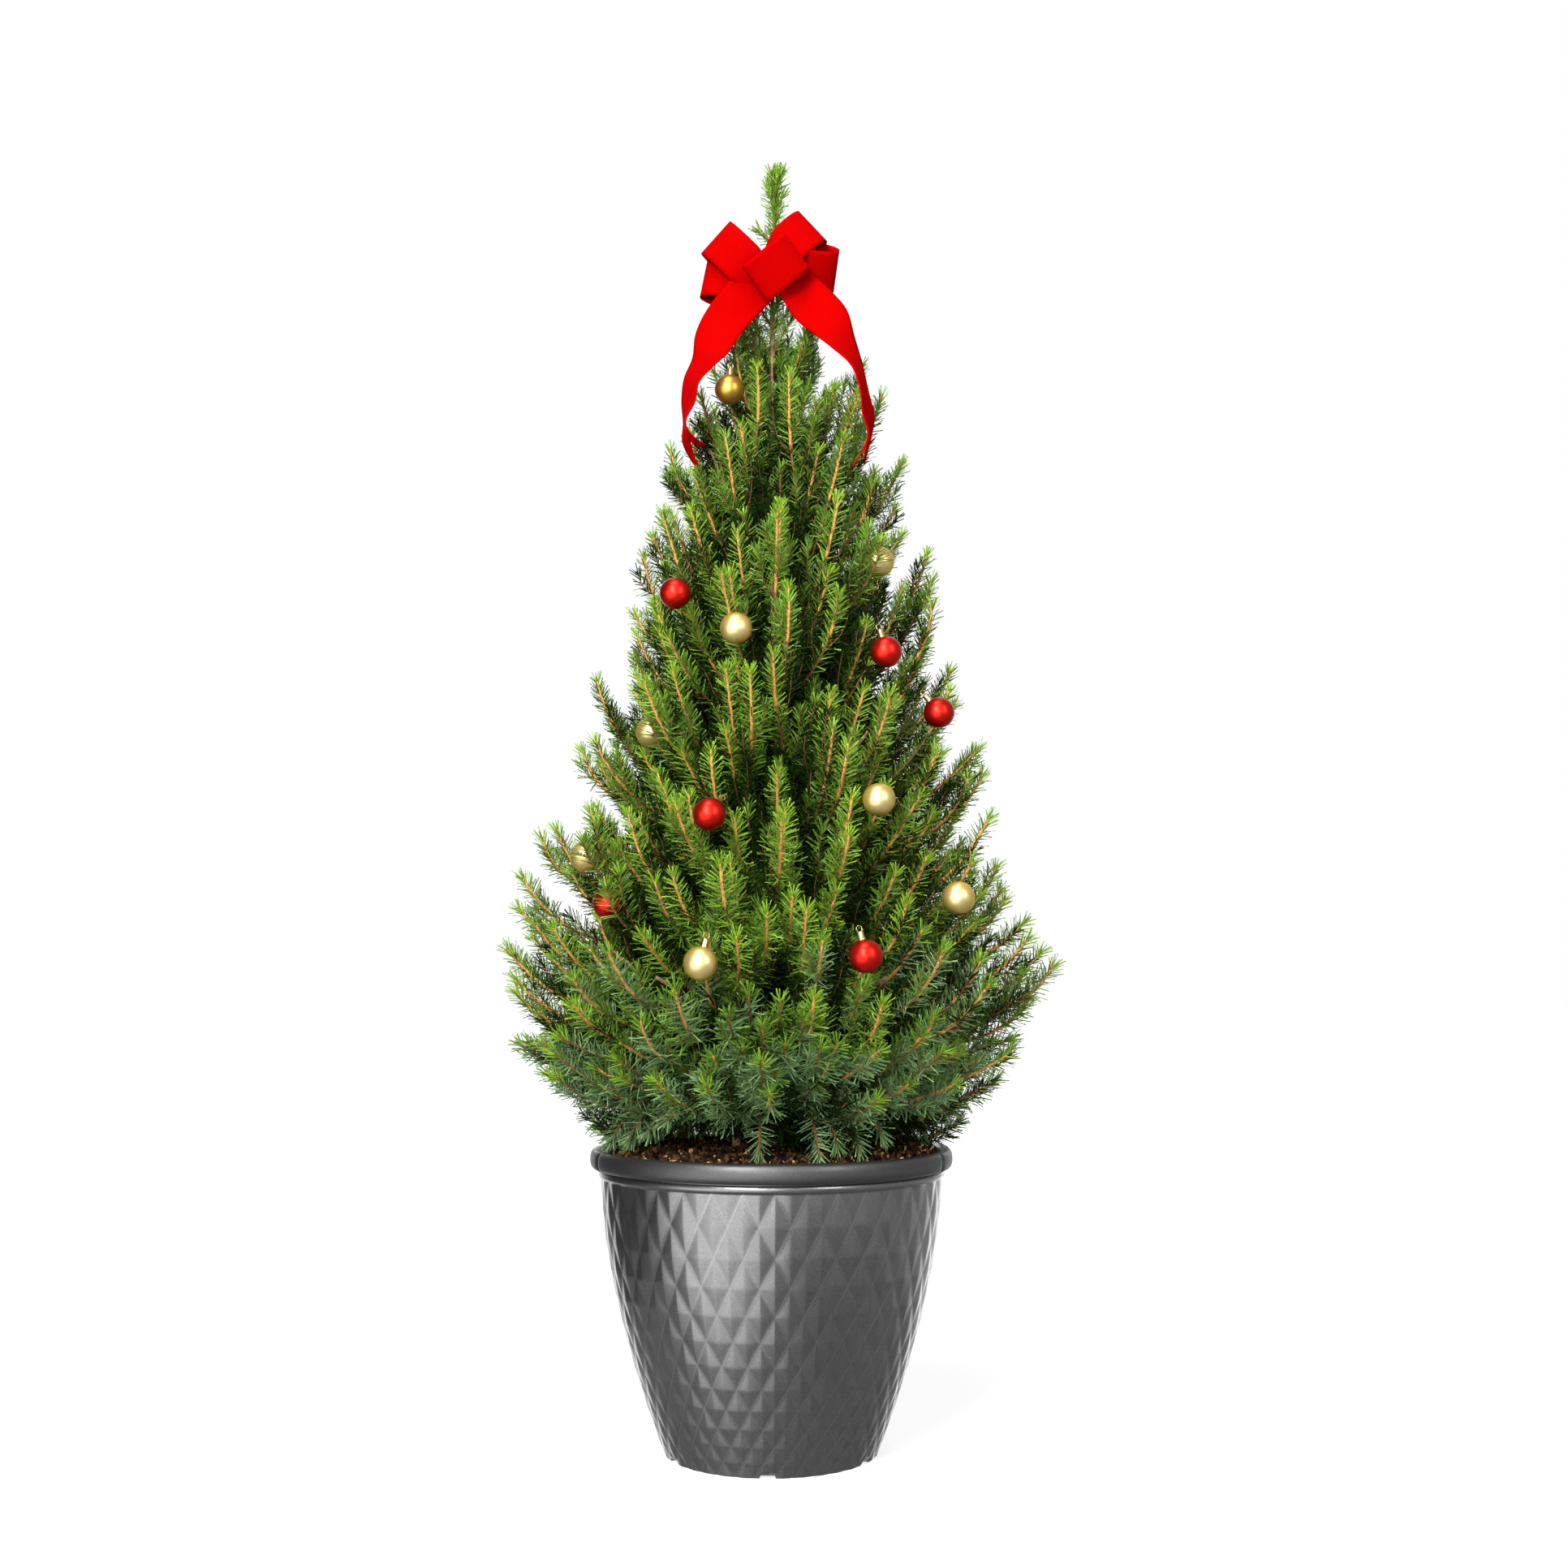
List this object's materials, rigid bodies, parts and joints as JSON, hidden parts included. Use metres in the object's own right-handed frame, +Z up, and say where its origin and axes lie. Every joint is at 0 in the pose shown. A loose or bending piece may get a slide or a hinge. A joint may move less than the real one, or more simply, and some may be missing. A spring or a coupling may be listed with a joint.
{
  "type": "potted dwarf alberta spruce",
  "caption": "Dense cone-shaped dwarf spruce standing in a round tapering pot with a raised diamond lattice.",
  "frame": {"origin": "centre of the pot's flat underside", "axes": "+Z up the trunk, -Y towards the viewer of the picture, +X to that viewer's right"},
  "size_m": [0.4565, 0.4372, 1.122],
  "materials": {
    "pot": "graphite metallic paint on moulded plastic, satin gloss",
    "soil": "damp bark and peat potting mix",
    "bark": "rough brown bark",
    "needles": "short green needles",
    "fresh_needles": "young bright green needles",
    "ornaments": "satin metallic lacquer on light plastic balls",
    "ribbon": "bright red velvet ribbon"
  },
  "bodies": {
    "root": {"pot": "pot", "soil": "soil", "trunk": "bark", "bough_skirt_1": "bark", "bough_skirt_2": "bark", "bough_skirt_3": "bark", "bough_skirt_4": "bark", "bough_skirt_5": "bark", "bough_skirt_6": "bark", "bough_low_1": "bark", "bough_low_2": "bark", "bough_low_3": "bark", "bough_low_4": "bark", "bough_low_5": "bark", "bough_low_6": "bark", "bough_waist_1": "bark", "bough_waist_2": "bark", "bough_waist_3": "bark", "bough_waist_4": "bark", "bough_waist_5": "bark", "bough_waist_6": "bark", "foliage_skirt_1": "needles", "foliage_skirt_2": "needles", "foliage_skirt_3": "needles", "foliage_skirt_4": "needles", "foliage_skirt_5": "needles", "foliage_skirt_6": "needles", "foliage_low_1": "needles", "foliage_low_2": "needles", "foliage_low_3": "needles", "foliage_low_4": "needles", "foliage_low_5": "needles", "foliage_low_6": "needles", "foliage_waist_1": "needles", "foliage_waist_2": "needles", "foliage_waist_3": "needles", "foliage_waist_4": "needles", "foliage_waist_5": "needles", "foliage_waist_6": "needles", "foliage_middle_1": "needles", "foliage_middle_2": "needles", "foliage_middle_3": "needles", "foliage_middle_4": "needles", "foliage_middle_5": "needles", "foliage_upper_1": "needles", "foliage_upper_2": "needles", "foliage_upper_3": "needles", "foliage_upper_4": "needles", "foliage_shoulder_1": "needles", "foliage_shoulder_2": "needles", "foliage_shoulder_3": "needles", "foliage_top_1": "needles", "foliage_top_2": "needles", "foliage_leader": "fresh_needles"}
  },
  "joints": []
}
